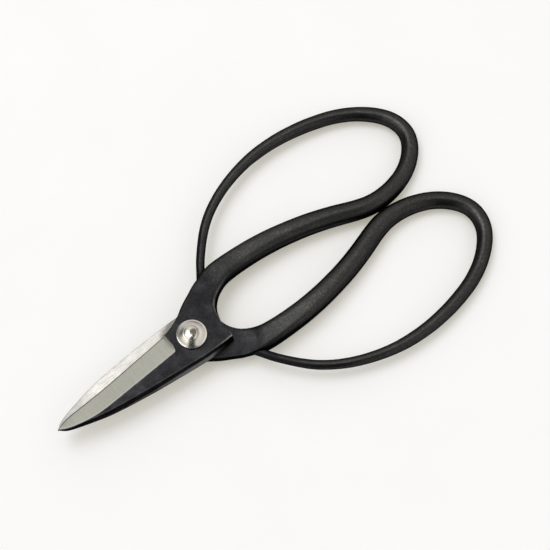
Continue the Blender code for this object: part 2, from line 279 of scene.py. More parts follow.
def skin(name, grid, joined=False):
    """Mesh of a grid of points in millimetres whose columns close into rings.

    Four-sided faces join neighbouring points. Joined rows close too, and otherwise each end is
    closed by a fan of triangles about the middle of its ring.
    """
    rows, columns = grid.shape[:2]
    index = np.arange(rows * columns).reshape(rows, columns)
    near, far = (index, np.roll(index, -1, axis=0)) if joined else (index[:-1], index[1:])
    quads = np.stack([near, np.roll(near, -1, axis=1), np.roll(far, -1, axis=1), far], axis=-1)
    points = grid.reshape(-1, 3)
    faces = quads.reshape(-1, 4).tolist()
    if not joined:
        points = np.concatenate([points, [grid[0].mean(axis=0)], [grid[-1].mean(axis=0)]])
        pole = np.full(columns, rows * columns)
        faces += np.stack([pole, np.roll(index[0], -1), index[0]], axis=-1).tolist()
        faces += np.stack([pole + 1, index[-1], np.roll(index[-1], -1)], axis=-1).tolist()
    mesh = bpy.data.meshes.new(name)
    mesh.from_pydata(points * MM, [], faces)
    return mesh


def turned(profile):
    """Grid of a profile of (radius, height) carried round the pivot's axis."""
    angle = np.linspace(0.0, 2.0 * math.pi, TURN_COLUMNS, endpoint=False)
    radius, height = np.asarray(profile, dtype=float).T[:, :, None]
    return np.stack(np.broadcast_arrays(radius * np.cos(angle), radius * np.sin(angle),
                                        height), axis=-1)


def eased(points):
    """Round every corner of a profile of (radius, height, ease).

    Each corner becomes the parabola that leaves its two sides at the ease's distance.
    """
    points = np.asarray(points, dtype=float)
    corner, ease = points[:, :2], points[:, 2:]
    before, after = np.roll(corner, 1, axis=0) - corner, np.roll(corner, -1, axis=0) - corner
    start = corner + before * ease / np.hypot(*before.T)[:, None]
    end = corner + after * ease / np.hypot(*after.T)[:, None]
    t = np.linspace(0.0, 1.0, EASE_STEPS)[None, :, None]
    curve = ((1.0 - t) ** 2 * start[:, None] + 2.0 * t * (1.0 - t) * corner[:, None]
             + t ** 2 * end[:, None])
    return curve.reshape(-1, 2)


# ---- the forged half ----

def rod_stations():
    """Stations of the shank and bow with their two sides in plan.

    The sides are the middle plus and minus the half width, square to the path.
    """
    start = share_at(SHANK_AND_BOW, SHANK_START, top=0.2)
    stations = along(SHANK_AND_BOW, np.linspace(start, 1.0, ROD_ROWS))
    across = leftward(stations) * stations[:, 2:3]
    root = sweep(SHANK_AND_BOW, 0.0, start, CROTCH_ROWS)
    return root, stations, stations[:, :2] + across, stations[:, :2] - across


def crest_height(x):
    """Height of the outer cheek at X: a spline down to the tip, and flat over the plate."""
    line = along(CREST, np.linspace(0.0, 1.0, 200))
    return np.interp(x, line[:, 0], line[:, 1])


def half_rails():
    """The four rails of a half, row by row, and the numbers that shape each row.

    edge and ridge are the bottom and the top of the flank towards +Y, foot and brow those of
    the wall towards -Y.
    """
    root, stations, left, right = rod_stations()
    extend = (0, 8)
    shoulder = [*SHOULDER, *left[list(extend)]]
    crotch = [*CROTCH, *right[list(extend)]]
    shoulder_end = share_at(shoulder, left[0, 0])
    crotch_end = share_at(crotch, right[0, 0])
    grind = share_at(EDGE, GRIND_FROM)
    turn = share_at(shoulder, SHOULDER_TURN)
    at = [share_at(SPINE, x) for x in SPINE_STOPS]

    edge = np.concatenate([
        sweep(EDGE, 0.0, grind, BLADE_ROWS),
        sweep(EDGE, grind, 1.0, GRIND_END_ROWS),
        np.linspace(CHOIL[0], CHOIL[1], NOTCH_ROWS, endpoint=False),
        np.linspace(CHOIL[1], CHOIL[2], CHOIL_ROWS, endpoint=False),
        sweep(shoulder, 0.0, turn, PLATE_ROWS),
        sweep(shoulder, turn, shoulder_end, CROTCH_ROWS),
        left])
    spine = np.concatenate([
        sweep(SPINE, 0.0, at[0], BLADE_ROWS),
        sweep(SPINE, at[0], at[1], GRIND_END_ROWS),
        sweep(SPINE, at[1], at[2], NOTCH_ROWS),
        sweep(SPINE, at[2], at[3], CHOIL_ROWS),
        sweep(SPINE, at[3], 1.0, PLATE_ROWS)])
    inner = np.concatenate([sweep(crotch, 0.0, crotch_end, CROTCH_ROWS), right])
    foot = np.concatenate([spine, inner])

    # the flank's top: the bevel line, round the grind's end, then just inside the shoulder
    notch = BLADE_ROWS + GRIND_END_ROWS
    after_choil = notch + NOTCH_ROWS + CHOIL_ROWS
    rows = np.arange(len(edge))
    ease = 0.3 + 0.6 * smooth_step(rows, notch + NOTCH_ROWS, notch + PLATE_ROWS)
    inside = edge - leftward(edge) * ease[:, None]
    ridge = np.concatenate([
        sweep(BEVEL_LINE, 0.0, 1.0, BLADE_ROWS),
        sweep(GRIND_END, 0.0, 1.0, GRIND_END_ROWS),
        np.linspace(GRIND_END[-1], NOTCH_TOP, NOTCH_ROWS, endpoint=False),
        np.linspace(NOTCH_TOP, inside[after_choil], CHOIL_ROWS, endpoint=False),
        inside[after_choil:]])

    # the wall's top, held back at the heel so that the two sides meet in one mitred corner
    spine_inset = np.interp(spine[:, 0], *np.transpose(SPINE_INSET))
    room = np.hypot(*(ridge[:len(spine)] - spine).T)
    spine_inset = np.minimum(spine_inset, 0.5 * room)
    crotch_share = np.minimum(np.arange(len(inner)) / CROTCH_ROWS, 1.0)
    inner_inset = np.interp(crotch_share, *np.transpose(CROTCH_INSET))
    spine_brow = spine + leftward(spine) * spine_inset[:, None]
    inner_brow = inner + leftward(inner) * inner_inset[:, None]
    mitre = np.array([SPINE[-1][0] - CROTCH_INSET[0][1], SPINE[-1][1] + SPINE_INSET[-1][1]])
    spine_brow[:, 0] = np.minimum(spine_brow[:, 0], mitre[0])
    inner_brow[:, 1] = np.maximum(inner_brow[:, 1], mitre[1])
    brow = np.concatenate([spine_brow, inner_brow])
    return {"edge": edge, "ridge": ridge, "foot": foot, "brow": brow, "ease": ease,
            "root": root, "stations": stations, "heel": len(spine), "notch": notch,
            "rod": len(edge) - ROD_ROWS}


def flank(rails, hollow):
    """Ground bevel ahead of the notch, and a black side wall with a round top behind it.

    The bevel is a straight line from edge to ridge. Round the grind's end the line stays in the
    bevel's plane and rises to the ridge in a parabola, (1 - d / w)^2 of the missing height, d
    being the distance from the ridge and w the hollow's width. The side wall stands upright and
    ends in a quarter circle as wide as its ease.
    """
    edge, ridge = rails["edge"], rails["ridge"]
    rows = np.arange(len(edge))
    share = np.arange(FLANK_COLUMNS) / FLANK_COLUMNS
    top = crest_height(ridge[:, 0])

    close = 1.0 - (1.0 - share) ** 2
    near, far = np.array(EDGE[2]), np.array(EDGE[-1])
    run = (far - near) / np.hypot(*(far - near))
    offset = ridge - far
    reach = run[1] * offset[:, 0] - run[0] * offset[:, 1]
    full = reach[BLADE_ROWS]
    plane = np.where(rows < BLADE_ROWS, top,
                     PLATE_FLOOR + (PLATE_TOP - PLATE_FLOOR) * np.clip(reach / full, 0.0, 1.0))
    missing = (top - plane)[:, None]
    gap = (1.0 - close) * np.hypot(*(ridge - edge).T)[:, None]
    width = hollow * missing + 0.05
    rise = missing * np.clip(1.0 - gap / width, 0.0, 1.0) ** 2
    ground = np.empty((len(edge), FLANK_COLUMNS, 3))
    ground[..., :2] = edge[:, None] + (ridge - edge)[:, None] * close[:, None]
    ground[..., 2] = PLATE_FLOOR + (plane[:, None] - PLATE_FLOOR) * close + rise

    turn = 0.5 * math.pi * np.clip(2.0 * share - 1.0, 0.0, 1.0)
    ease = rails["ease"][:, None]
    height = top[:, None] - PLATE_FLOOR
    wall = np.empty_like(ground)
    inward = (ridge - edge)[:, None]
    wall[..., :2] = edge[:, None] + inward * (1.0 - np.cos(turn))[:, None]
    wall[..., 2] = (PLATE_FLOOR + (height - ease) * np.minimum(2.0 * share, 1.0)
                    + ease * np.sin(turn))
    black = smooth_step(rows, rails["notch"], rails["notch"] + NOTCH_ROWS)[:, None, None]
    return ground * (1.0 - black) + wall * black


def plate_rings(rails, hollow):
    """Rings of the blade and plate: flat inner face, flank, cheek, and the wall on the spine.

    The wall's height and inset both run from 0 to 1. Along the spine they run together, which
    is a flat draft, and in the crotch they are the sine and one minus the cosine, each to the
    power 2 / 2.4, which is a soft round.
    """
    edge, ridge, foot, brow = (rails[key] for key in ("edge", "ridge", "foot", "brow"))
    rows = len(edge)

    share = np.arange(FLOOR_COLUMNS)[:, None] / FLOOR_COLUMNS
    floor = np.full((rows, FLOOR_COLUMNS, 3), PLATE_FLOOR)
    floor[..., :2] = foot[:, None] + (edge - foot)[:, None] * share

    share = np.arange(CHEEK_COLUMNS)[:, None] / CHEEK_COLUMNS
    cheek = np.empty((rows, CHEEK_COLUMNS, 3))
    cheek[..., :2] = ridge[:, None] + (brow - ridge)[:, None] * share
    cheek[..., 2] = crest_height(cheek[..., 0])

    share = 1.0 - np.arange(WALL_COLUMNS) / WALL_COLUMNS
    soft = smooth_step(np.arange(rows), rails["heel"], rails["heel"] + 0.4 * CROTCH_ROWS)[:, None]
    turn = 0.5 * math.pi * share
    climb = (1.0 - soft) * share + soft * np.sin(turn) ** (2.0 / 2.4)
    inset = (1.0 - soft) * share + soft * (1.0 - np.cos(turn) ** (2.0 / 2.4))
    wall = np.empty((rows, WALL_COLUMNS, 3))
    wall[..., :2] = foot[:, None] + (brow - foot)[:, None] * inset[..., None]
    top = crest_height(brow[:, 0])[:, None]
    wall[..., 2] = PLATE_FLOOR + (top - PLATE_FLOOR) * climb
    return np.concatenate([floor, flank(rails, hollow), cheek, wall], axis=1)


def rod_rings(rails):
    """Rings of the shank and bow, each a superellipse between its two rails.

    At angle a the radius is (|cos a / w|^n + |sin a / h|^n)^(-1 / n), with w and h the half
    width and half height. n is lower on the inner side, where the forging is rounder.
    """
    root = rails["root"]
    before = np.repeat(root[:1], rails["rod"] - CROTCH_ROWS, axis=0)
    stations = np.concatenate([before, root, rails["stations"]])
    middle = 0.5 * (rails["edge"] + rails["foot"])
    half = 0.5 * (rails["edge"] - rails["foot"])
    width = np.maximum(np.hypot(*half.T), 0.001)[:, None]
    low, high, square = stations[:, 3:4], stations[:, 4:5], stations[:, 5:6]
    height = 0.5 * (high - low)
    corner = np.arctan2(height, width)
    spans = ((FLOOR_COLUMNS, corner - math.pi, -corner), (FLANK_COLUMNS, -corner, corner),
             (CHEEK_COLUMNS, corner, math.pi - corner),
             (WALL_COLUMNS, math.pi - corner, math.pi + corner))
    angle = np.concatenate([start + (end - start) * np.arange(columns) / columns
                            for columns, start, end in spans], axis=1)
    cos, sin = np.cos(angle), np.sin(angle)
    power = np.where(cos > 0.0, square, 2.0 + 0.55 * (square - 2.0))
    radius = (np.abs(cos / width) ** power + np.abs(sin / height) ** power) ** (-1.0 / power)
    ring = np.empty((*angle.shape, 3))
    ring[..., :2] = middle[:, None] + (half / width)[:, None] * (radius * cos)[..., None]
    ring[..., 2] = 0.5 * (high + low) + radius * sin
    return ring


def end_at_shank(rings, rails):
    """Slant the tail's end so that it lies along the shank's outer side.

    The end lies in an upright plane a gap away from the shank's side. Rings that reach it are
    left out, the last one slides along the tail until it meets the plane, and a smaller ring
    there rounds the rim.
    """
    first = rails["rod"]
    outward = leftward(rails["stations"])
    near = rails["stations"][:, 0] < SHANK_END
    side = rails["edge"][first:]
    away = np.hypot(*(side - rails["stations"][-1, :2]).T)
    nearest = np.where(near & (np.arange(ROD_ROWS) < ROD_ROWS // 2), away, np.inf).argmin()
    normal = np.array([*outward[nearest], 0.0])
    foot = np.array([*side[nearest], 0.0])
    room = ((rings - foot) @ normal).min(axis=1)
    stop = len(rings) - int(np.argmax(room[::-1] > 2.0 * TAIL_GAP))
    heading = rings[stop - 1].mean(axis=0) - rings[stop - 2].mean(axis=0)
    heading /= np.linalg.norm(heading)
    last = rings[stop - 1]
    reach = ((last - foot) @ normal)[:, None]
    rim = last + heading * (reach - TAIL_GAP - 0.15) / -(heading @ normal)
    end = last + heading * (reach - TAIL_GAP) / -(heading @ normal)
    middle = end.mean(axis=0)
    return np.concatenate([rings[:stop], [rim, middle + (end - middle) * 0.9,
                                          middle + (end - middle) * 0.5]])


def outward_normals(rings):
    """Unit normals of a grid, from the cross product of its column and row steps."""
    row_step = np.gradient(rings, axis=0)
    column_step = np.roll(rings, -1, axis=1) - np.roll(rings, 1, axis=1)
    normal = np.cross(column_step, row_step)
    return normal / np.maximum(np.linalg.norm(normal, axis=-1, keepdims=True), 1e-9)


def hammer_waves(points):
    """Slow unevenness of a hand forging: the sum of six sines of crossing directions."""
    turn = np.arange(6) * 2.4 + 0.7
    pitch = np.array([17.0, 12.0, 9.0, 7.0, 5.5, 4.5])
    direction = np.stack([np.cos(turn), np.sin(turn), 0.6 * np.cos(3.0 * turn)], axis=1)
    phase = points @ (direction * 2.0 * math.pi / pitch[:, None]).T + 5.0 * turn
    return (np.sin(phase) * pitch / pitch.sum()).sum(axis=-1)


def rubbed_and_sheen_edges(gaps, rings, rails, shape):
    """How bright each point is on three ridges: exp(-(d / w)^2) of its distance from them.

    The brightness is partly rubbed steel and partly a painted highlight where a ridge catches the
    light. The bevel's line is bright all along. The ridge over the spine is bright at the heel
    only, and in the crotch it stays bright until the shank has grown round.
    """
    rows = np.arange(len(rings))
    near = np.exp(-(gaps * MM / shape.edge_wear_and_sheen) ** 2)
    line = np.where(rows < rails["notch"], 1.0, 0.0)
    heel = 0.3 + 0.7 * smooth_step(rings[:, 0, 0], 4.0, 9.0)
    crotch = 1.0 - smooth_step(rows, rails["rod"] - 20, rails["rod"] + 16)
    brow = np.where(rows < rails["heel"], heel, crotch)
    wide = np.exp(-(gaps[..., 3] * MM / (1.7 * shape.edge_wear_and_sheen)) ** 2)
    soft = smooth_step(rows, rails["heel"], rails["heel"] + 0.5 * CROTCH_ROWS)[:, None]
    rubbed = near[..., 3] * (1.0 - soft) + wide * soft
    return np.maximum(near[..., 2] * line[:, None], rubbed * brow[:, None])


def painted_wall_reflection(rings, rails, first):
    """Painted reflection of the table: a lighter strip at the bottom of the spine's wall."""
    rows, columns = rings.shape[:2]
    x = rings[..., 0]
    height = WALL_REFLECTION_HEIGHT * (0.35 + 0.65 * smooth_step(x, -48.0, 0.0))
    strip = 1.0 - smooth_step(rings[..., 2] / height, 0.85, 1.15)
    strip = strip * smooth_step(x, -60.0, 2.0) * (1.0 - smooth_step(x, 2.0, 10.0))
    on_wall = (np.arange(columns) >= first)[None] & (np.arange(rows) < rails["heel"])[:, None]
    return np.where(on_wall, strip, 0.0)


def half_grid(shape):
    """Points of the upper half, marks that its finishes use, and each face's finish.

    Rings of the plate turn into rings of the shank behind the crotch. Faces are black, bevel or
    inner face by their row and column.
    """
    rails = half_rails()
    rows = np.arange(len(rails["edge"]))
    rod = smooth_step(rows, rails["heel"] + 0.35 * CROTCH_ROWS, rails["rod"] + 6.0)
    weight = rod[:, None, None]
    rings = plate_rings(rails, shape.hollow) * (1.0 - weight) + rod_rings(rails) * weight

    corners = np.cumsum([0, FLOOR_COLUMNS, FLANK_COLUMNS, CHEEK_COLUMNS])
    gaps = np.linalg.norm(rings[:, :, None] - rings[:, None, corners], axis=-1)
    away = gaps[..., 1:].min(axis=-1)
    # the mark at the foot of the spine's wall is a painted reflection of the table
    marks = {"edge_wear_and_sheen": rubbed_and_sheen_edges(gaps, rings, rails, shape),
             "wall_table_reflection": painted_wall_reflection(rings, rails, corners[3]),
             "from_foot": gaps[..., 0], "from_cut": gaps[..., 1], "from_ridge": gaps[..., 2]}

    finish = np.zeros(rings.shape[:2], dtype=np.int32)
    finish[:rails["notch"], corners[1]:corners[2]] = 1
    reach = np.hypot(rings[..., 0], rings[..., 1])[:rails["heel"], :corners[1]]
    bare = (reach < BARE_RADIUS + 0.6) | (rings[:rails["heel"], :corners[1], 0] < -3.0)
    finish[:rails["heel"], :corners[1]] = np.where(bare, 2, 0)

    calm = (finish == 0) & (np.abs(rings[..., 2] - PLATE_FLOOR) > 0.05)
    lift = np.where(calm, hammer_waves(rings) - 0.65, 0.0) * shape.forging_wave / MM
    lift *= 1.0 - np.exp(-(away / 0.6) ** 2) * (1.0 - rod)[:, None]
    rings = rings + outward_normals(rings) * lift[..., None]

    done = end_at_shank(rings, rails)
    rows = np.minimum(np.arange(len(done)), len(rings) - 1)
    return done, {key: value[rows] for key, value in marks.items()}, finish[:len(done) - 1]


def pivot_hole(mesh, radius, middle):
    """Cut the round hole that the rivet turns in, and give the mesh back."""
    cutter = new_object("pivot_hole", skin("pivot_hole", turned(
        [(radius, middle - 9.0), (radius, middle + 9.0)])))
    half = new_object("half_before_hole", mesh)
    cut = half.modifiers.new("hole", "BOOLEAN")
    cut.operation = "DIFFERENCE"
    cut.solver = "EXACT"
    cut.object = cutter
    graph = bpy.context.evaluated_depsgraph_get()
    done = bpy.data.meshes.new_from_object(half.evaluated_get(graph), depsgraph=graph)
    bpy.data.objects.remove(half)
    bpy.data.objects.remove(cutter)
    return done


def half_mesh(name, grid, marks, finish, turned_over, shape):
    """One half in its place. The lower half is the upper one turned over about the X axis."""
    points = grid * ([1.0, -1.0, -1.0] if turned_over else [1.0, 1.0, 1.0])
    mesh = skin(name, points + np.array([0.0, 0.0, PIVOT.z]))
    poles = np.zeros(2)
    for key, value in marks.items():
        attribute = mesh.attributes.new(key, "FLOAT", "POINT")
        attribute.data.foreach_set("value", np.concatenate([value.ravel(), poles]).astype("f4"))
    caps = np.zeros(2 * grid.shape[1], dtype=np.int32)
    for build in (black_oxide_skin, ground_bevel, ground_inner_face):
        mesh.materials.append(once(bpy.data.materials, build))
    mesh.polygons.foreach_set("material_index", np.concatenate([finish.ravel(), caps]))
    mesh = pivot_hole(mesh, shape.pivot_hole / MM, PIVOT.z)
    mesh.name = name
    mesh.shade_smooth()
    mesh.set_sharp_from_angle(angle=math.radians(24.0))
    return mesh


# ---- the pivot's pieces ----

def washer_grid(flip):
    """Domed washer turned from one closed profile, on the upper cheek or flipped under the lower.

    Over the dome the radius falls evenly from the lip to the crown, and the height is 0.45 of an
    even climb plus 0.55 of a quarter sine.
    """
    radius = WASHER_HIGH.x
    floor = PIVOT.z + PLATE_TOP + HEAD_CLEARANCE
    top = WASHER_HIGH.z
    rim = floor + 0.4 * (top - floor)
    lip = radius - WASHER_LIP
    share = np.linspace(0.04, 1.0, 26)[:, None]
    outer = eased([(WASHER_BORE, floor, 0.08), (radius - 0.1, floor, 0.1),
                   (radius, floor + 0.12, 0.05), (radius, rim, 0.12),
                   (lip, rim + 0.1, 0.1)])[:-EASE_STEPS]
    climb = 0.45 * share + 0.55 * np.sin(0.5 * math.pi * share)
    dome = np.concatenate([lip - (lip - WASHER_CROWN) * share,
                           rim + 0.1 + (top - rim - 0.1) * climb], axis=1)
    inner = eased([(WASHER_CROWN, top, 0.03), (WASHER_CROWN - 0.05, top - 0.03, 0.03),
                   (WASHER_CROWN - 0.07, top - 0.42, 0.05), (WASHER_BORE, top - 0.7, 0.05),
                   (WASHER_BORE, floor, 0.08)])[:-EASE_STEPS]
    grid = turned(np.concatenate([outer, dome, inner]))
    if flip:
        grid = grid * [1.0, -1.0, -1.0] + [0.0, 0.0, 2.0 * PIVOT.z]
    return grid


def rivet_grid():
    """Rivet turned from one profile, the same peened head and proud centre at both ends.

    The middle of each end face is then moved off centre by NUB_DRIFT, all of it inside a radius
    of 1.3 mm and none of it past 2.75 mm.
    """
    top = RIVET_HIGH.z - PIVOT.z
    head = top - 0.35
    upper = eased([(2.2, 0.0, 0.0001), (2.2, head - 1.15, 0.05), (2.8, head - 0.85, 0.05),
                   (2.84, head - 0.68, 0.04), (2.78, head - 0.62, 0.04), (2.0, head - 0.2, 0.5),
                   (1.38, head, 0.1), (1.2, head + 0.14, 0.1), (0.95, top - 0.08, 0.15),
                   (0.5, top, 0.2), (0.22, top - 0.05, 0.1), (0.02, top - 0.08, 0.002)])
    lower = upper[::-1] * [1.0, -1.0]
    profile = np.concatenate([lower[:-EASE_STEPS], upper[EASE_STEPS:]])
    grid = turned(profile)
    radius = np.hypot(grid[..., 0], grid[..., 1])
    on_end = np.abs(grid[..., 2]) > head - 0.75
    drift = np.where(on_end, 1.0 - smooth_step(radius, 1.3, 2.75), 0.0)
    grid[..., :2] += drift[..., None] * np.array(NUB_DRIFT)
    return grid + [0.0, 0.0, PIVOT.z]


# ---- finishes ----

def node(tree, kind, inputs=(), **settings):
    """Add a node, set its own settings, and fill or link its inputs by name or number."""
    made = tree.nodes.new(kind)
    for key, value in settings.items():
        setattr(made, key, value)
    for key, value in dict(inputs).items():
        if isinstance(value, bpy.types.NodeSocket):
            tree.links.new(value, made.inputs[key])
        else:
            made.inputs[key].default_value = value
    return made


def maths(tree, operation, first, second=0.5, clamp=False):
    """A Math node's output."""
    return node(tree, "ShaderNodeMath", {0: first, 1: second}, operation=operation,
                use_clamp=clamp).outputs[0]


def times(tree, first, second, clamp=False):
    """The product of two values."""
    return maths(tree, "MULTIPLY", first, second, clamp)


def plus(tree, first, second, clamp=False):
    """The sum of two values."""
    return maths(tree, "ADD", first, second, clamp)


def vector_maths(tree, operation, first, second=(0.0, 0.0, 0.0)):
    """A Vector Math node's output: a number for lengths and dot products, else a vector."""
    made = node(tree, "ShaderNodeVectorMath", {0: first, 1: second}, operation=operation)
    number = operation in ("LENGTH", "DISTANCE", "DOT_PRODUCT")
    return made.outputs["Value" if number else "Vector"]


def along_x(tree, space):
    """The X of a position."""
    return node(tree, "ShaderNodeSeparateXYZ", {0: space}).outputs["X"]


def remap(tree, value, low, high, to_low=0.0, to_high=1.0):
    """A smooth Map Range node's output."""
    return node(tree, "ShaderNodeMapRange",
                {"Value": value, "From Min": low, "From Max": high, "To Min": to_low,
                 "To Max": to_high}, interpolation_type="SMOOTHSTEP").outputs["Result"]


def mix(tree, factor, first, second):
    """A colour Mix node's output."""
    return node(tree, "ShaderNodeMix", {"Factor": factor, "A": first, "B": second},
                data_type="RGBA").outputs["Result"]


def noise(tree, vector, scale, detail, roughness=0.5):
    """A Noise Texture's value."""
    return node(tree, "ShaderNodeTexNoise", {"Vector": vector, "Scale": scale, "Detail": detail,
                "Roughness": roughness}).outputs[0]


def group(name, inputs, outputs):
    """A new shader node group with named sockets, and its input and output nodes."""
    tree = bpy.data.node_groups.new(name, "ShaderNodeTree")
    for label, default in inputs.items():
        kind = "NodeSocketVector" if default is None else "NodeSocketFloat"
        socket = tree.interface.new_socket(label, in_out="INPUT", socket_type=kind)
        if default is not None:
            socket.default_value = default
    for label in outputs:
        tree.interface.new_socket(label, in_out="OUTPUT", socket_type="NodeSocketFloat")
    return tree, tree.nodes.new("NodeGroupInput").outputs, tree.nodes.new("NodeGroupOutput").inputs


def steel_mottle(name):
    """Cloudy patches and fine grit, for any steel skin."""
    tree, given, out = group(name, {"Vector": None, "Patch Scale": 0.2, "Grit Scale": 2.0},
                             ["Patches", "Grit", "Height"])
    patches = noise(tree, given["Vector"], given["Patch Scale"], 5.0, 0.6)
    grit = noise(tree, given["Vector"], given["Grit Scale"], 6.0, 0.65)
    tree.links.new(remap(tree, patches, 0.32, 0.68), out["Patches"])
    tree.links.new(remap(tree, grit, 0.3, 0.7), out["Grit"])
    tree.links.new(plus(tree, times(tree, patches, 0.5), grit), out["Height"])
    return tree


def edge_rubbing_and_sheen(name):
    """Rubbed edges and the painted highlights along them, broken up by noise, from a mask that is 1
    on the edge itself.
    """
    tree, given, out = group(name, {"Vector": None, "Edge": 0.0, "Amount": 0.5}, ["Wear"])
    broken = remap(tree, noise(tree, given["Vector"], 0.55, 5.0, 0.7), 0.35, 0.65)
    edge = times(tree, given["Edge"], plus(tree, broken, 0.35))
    tree.links.new(times(tree, edge, given["Amount"], clamp=True), out["Wear"])
    return tree


def wheel_lines(name):
    """Lines left by a wheel: noise drawn out one way, in a fine and a coarse layer."""
    tree, given, out = group(name, {"Vector": None, "Fine": 6.0, "Coarse": 1.4}, ["Lines", "Bands"])
    fine = noise(tree, given["Vector"], given["Fine"], 4.0, 0.7)
    coarse = noise(tree, given["Vector"], given["Coarse"], 3.0)
    tree.links.new(remap(tree, fine, 0.3, 0.7), out["Lines"])
    tree.links.new(remap(tree, coarse, 0.3, 0.7), out["Bands"])
    return tree


def new_material(name, metallic=1.0):
    """An empty node material with its shader, and the object's own coordinates."""
    material = bpy.data.materials.new(name)
    material.use_nodes = True
    tree = material.node_tree
    shader = tree.nodes["Principled BSDF"]
    shader.inputs["Metallic"].default_value = metallic
    return material, tree, shader, tree.nodes.new("ShaderNodeTexCoord").outputs["Object"]


def scaled(tree, place, scale=(1.0, 1.0, 1.0), turn=(0.0, 0.0, 0.0)):
    """Coordinates stretched by the given scales, one step being a millimetre at scale 1."""
    return node(tree, "ShaderNodeMapping", {"Vector": place, "Rotation": turn,
                "Scale": [s / MM for s in scale]}).outputs[0]


def once(store, build):
    """The group or material that carries its builder's name, built when first asked for."""
    return store.get(build.__name__) or build(build.__name__)


def use_group(tree, build, inputs):
    """Put a group in a material with its own values, and give its outputs."""
    group_tree = once(bpy.data.node_groups, build)
    return node(tree, "ShaderNodeGroup", inputs, node_tree=group_tree).outputs


def mottled(tree, space, patch_scale, grit_scale):
    """The mottle's outputs at a position, at the given scales."""
    return use_group(tree, steel_mottle, {"Vector": space, "Patch Scale": patch_scale,
                                          "Grit Scale": grit_scale})


def stored(tree, name):
    """A number stored on the mesh's points."""
    return node(tree, "ShaderNodeAttribute", (), attribute_name=name).outputs["Fac"]


def shades(colour, darkest, lightest, tint=(1.0, 1.0, 1.0)):
    """A darker and a lighter shade of a tinted colour, for a mottle to run between."""
    return [(*[share * t * c for t, c in zip(tint, colour)], 1.0)
            for share in (darkest, lightest)]


def colour_and_gloss(tree, shader, base, roughness):
    """Feed the shader its colour and its roughness."""
    tree.links.new(base, shader.inputs["Base Color"])
    tree.links.new(roughness, shader.inputs["Roughness"])


def bump(tree, shader, height, distance):
    """Feed a height to the shader's normal, 1 standing for the distance in millimetres."""
    made = node(tree, "ShaderNodeBump", {"Height": height, "Distance": distance * MM,
                "Strength": 1.0})
    tree.links.new(made.outputs[0], shader.inputs["Normal"])


def finish_colours():
    """The colours that the settings hold."""
    return bpy.context.scene.snips_finish


def black_oxide_skin(name):
    """Blackened forging skin: cloudy dark grey, fine grit, and steel showing on rubbed edges.

    The shank and bow are lighter, partly polished by hands and partly a painted highlight, and
    flecked where the skin is thin.
    """
    material, tree, shader, place = new_material(name)
    space = scaled(tree, place)
    mottle = mottled(tree, space, 0.16, 1.5)
    low, high = shades(finish_colours().black, 0.75, 1.9)
    # rubbed steel, also carrying painted highlights and a painted reflection
    worn_and_sheen = (*finish_colours().worn_and_sheen, 1.0)
    tone = plus(tree, times(tree, mottle["Patches"], 0.55), times(tree, mottle["Grit"], 0.45))
    # lighter towards the bows: hand polish and a painted highlight
    handled_and_sheen = remap(tree, along_x(tree, space), 12.0, 40.0)
    gritty = remap(tree, mottle["Grit"], 0.2, 1.0, 0.5, 1.0)
    base = mix(tree, times(tree, handled_and_sheen, gritty), mix(tree, tone, low, high), HANDLED_SKIN_AND_SHEEN)

    # rubbed edges, partly real wear and partly painted highlight
    wear_and_sheen = use_group(tree, edge_rubbing_and_sheen, {"Vector": space, "Edge": stored(tree, "edge_wear_and_sheen"),
                                          "Amount": 0.4})["Wear"]
    thin = remap(tree, noise(tree, space, 1.9, 3.0, 0.8), 0.57, 0.69)
    flecks = times(tree, thin, remap(tree, mottle["Patches"], 0.55, 0.95))
    flecks = times(tree, flecks, remap(tree, handled_and_sheen, 0.0, 1.0, 0.16, 0.45))
    # painted reflection of the table at the foot of the spine's wall
    bare = times(tree, stored(tree, "wall_table_reflection"), remap(tree, tone, 0.1, 0.6, 0.4, 0.7))
    base = mix(tree, bare, base, worn_and_sheen)
    base = mix(tree, plus(tree, wear_and_sheen, flecks, clamp=True), base, worn_and_sheen)

    rough = maths(tree, "SUBTRACT", remap(tree, tone, 0.0, 1.0, 0.46, 0.36),
                  times(tree, handled_and_sheen, 0.1))
    colour_and_gloss(tree, shader, base, rough)
    shader.inputs["Specular Tint"].default_value = (0.2, 0.2, 0.2, 1.0)
    bump(tree, shader, mottle["Height"], 0.06)
    return material


def ground_steel(name, tint, rough, stretch, turn):
    """Ground steel: wheel lines in its colour, roughness and bump, with dulled patches.

    Gives the material, its tree and shader, the position, the mottle, and the colour and the
    roughness so far, which the surface's own marks still change.
    """
    material, tree, shader, place = new_material(name)
    space = scaled(tree, place)
    lines = use_group(tree, wheel_lines, {"Vector": scaled(tree, place, stretch, turn)})
    mottle = mottled(tree, space, 0.12, 3.0)
    low, high = shades(finish_colours().ground, 0.82, 1.08, tint)
    tone = plus(tree, times(tree, lines["Lines"], 0.5),
                plus(tree, times(tree, lines["Bands"], 0.3), times(tree, mottle["Patches"], 0.2)))
    bump(tree, shader, plus(tree, lines["Lines"], times(tree, lines["Bands"], 0.6)), 0.012)
    roughness = remap(tree, tone, 0.0, 1.0, rough + 0.08, rough - 0.06)
    return material, tree, shader, space, mottle, mix(tree, tone, low, high), roughness


def ground_bevel(name):
    """The bevel, ground across the edge on a fine wheel.

    Its border to the skin carries a painted highlight, and a painted shadow line stands at the
    cutting edge.
    """
    material, tree, shader, _, _, base, roughness = ground_steel(
        name, BEVEL_TINT, 0.38, (1.0, 0.08, 0.08), (0.0, 0.0, 0.1))
    # painted highlight along the bevel's border with the black skin
    border_highlight = remap(tree, stored(tree, "from_ridge"), 0.38, 0.62, 0.95, 0.0)
    # painted shadow line along the cutting edge
    cut = remap(tree, stored(tree, "from_cut"), 0.3, 0.6, 0.9, 0.0)
    base = mix(tree, cut, mix(tree, border_highlight, base, BEVEL_BORDER_HIGHLIGHT), CUT_SHADE)
    colour_and_gloss(tree, shader, base, roughness)
    return material


